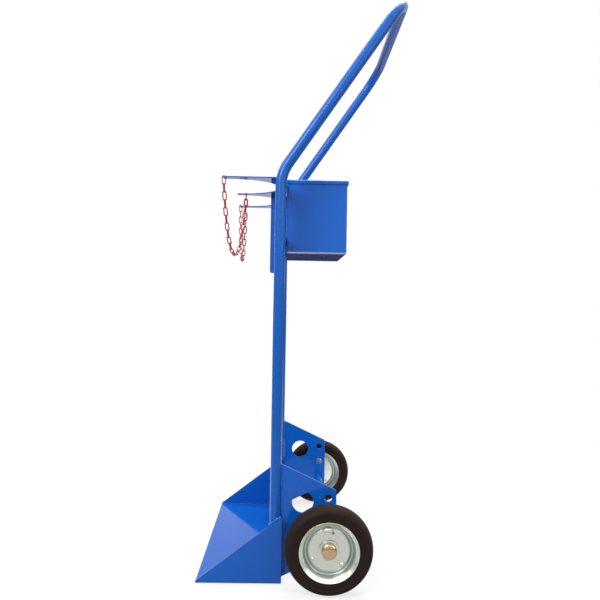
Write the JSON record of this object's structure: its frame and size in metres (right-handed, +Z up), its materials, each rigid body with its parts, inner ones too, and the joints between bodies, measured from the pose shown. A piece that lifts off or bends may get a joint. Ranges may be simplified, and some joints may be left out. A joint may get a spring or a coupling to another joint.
{
  "type": "welding cart",
  "caption": "Two-wheeled hand truck for a pair of gas cylinders: bent tube frame, toe scoop, notched cradle with retaining chains and a lidded toolbox.",
  "frame": {"origin": "on the floor midway between the axes of the two uprights, on the underside of the toe plate", "axes": "+X from the toe lip towards the wheels and handle, +Y along the axle towards the right-hand wheel, +Z up"},
  "size_m": [0.4993, 0.6738, 1.4332],
  "materials": {
    "frame_paint": "gloss blue enamel",
    "zinc_plate": "bright zinc plate",
    "bare_steel": "turned steel",
    "cap_chrome": "polished pressed cap",
    "tyre_rubber": "matt black rubber",
    "chain_paint": "red coated wire"
  },
  "bodies": {
    "cart_frame": {"frame_tube": "frame_paint", "upper_cross_tube": "frame_paint", "cradle_plate": "frame_paint", "cradle_spine": "frame_paint", "toe_plate": "frame_paint", "toe_side_left": "frame_paint", "toe_side_right": "frame_paint", "toe_back_plate": "frame_paint", "wheel_bracket_left": "frame_paint", "wheel_bracket_right": "frame_paint", "axle": "frame_paint", "axle_spacer_left": "frame_paint", "axle_spacer_right": "frame_paint", "inner_washer_left": "zinc_plate", "inner_washer_right": "zinc_plate", "outer_washer_left": "zinc_plate", "outer_washer_right": "zinc_plate", "axle_cap_left": "cap_chrome", "axle_cap_right": "cap_chrome", "toolbox_body": "frame_paint", "hinge_fixed_left": "frame_paint", "hinge_fixed_right": "frame_paint", "hinge_pin_left": "bare_steel", "hinge_pin_right": "bare_steel", "chain_ring_left": "chain_paint", "chain_ring_right": "chain_paint", "chain_hook_left": "chain_paint", "chain_hook_right": "chain_paint"},
    "lid": {"toolbox_lid": "frame_paint", "hinge_moving_left": "frame_paint", "hinge_moving_right": "frame_paint"},
    "left_wheel": {"tyre_left": "tyre_rubber", "rim_outer_left": "zinc_plate", "rim_inner_left": "zinc_plate", "hub_sleeve_left": "zinc_plate", "outer_bush_left": "bare_steel", "inner_bush_left": "bare_steel"},
    "right_wheel": {"tyre_right": "tyre_rubber", "rim_outer_right": "zinc_plate", "rim_inner_right": "zinc_plate", "hub_sleeve_right": "zinc_plate", "outer_bush_right": "bare_steel", "inner_bush_right": "bare_steel"},
    "left_chain": {"chain_left": "chain_paint"},
    "right_chain": {"chain_right": "chain_paint"}
  },
  "joints": [
    {"name": "left_wheel_spin", "type": "hinge", "parent": "cart_frame", "child": "left_wheel", "pos_m": [0.127, -0.3119, 0.103], "axis": [0, 1, 0], "continuous": true},
    {"name": "right_wheel_spin", "type": "hinge", "parent": "cart_frame", "child": "right_wheel", "pos_m": [0.127, 0.3119, 0.103], "axis": [0, 1, 0], "continuous": true},
    {"name": "lid_hinge", "type": "hinge", "parent": "cart_frame", "child": "lid", "pos_m": [0.0104, 0, 0.9846], "axis": [0, -1, 0], "range_deg": [0, 105]},
    {"name": "left_chain_swing", "type": "hinge", "parent": "cart_frame", "child": "left_chain", "pos_m": [-0.13975, -0.232, 0.96077], "axis": [0.1565, 0.9876, -0.0108], "range_deg": [-40, 50]},
    {"name": "right_chain_swing", "type": "hinge", "parent": "cart_frame", "child": "right_chain", "pos_m": [-0.13975, 0.232, 0.96077], "axis": [-0.1565, 0.9876, 0.0108], "range_deg": [-40, 50]}
  ]
}
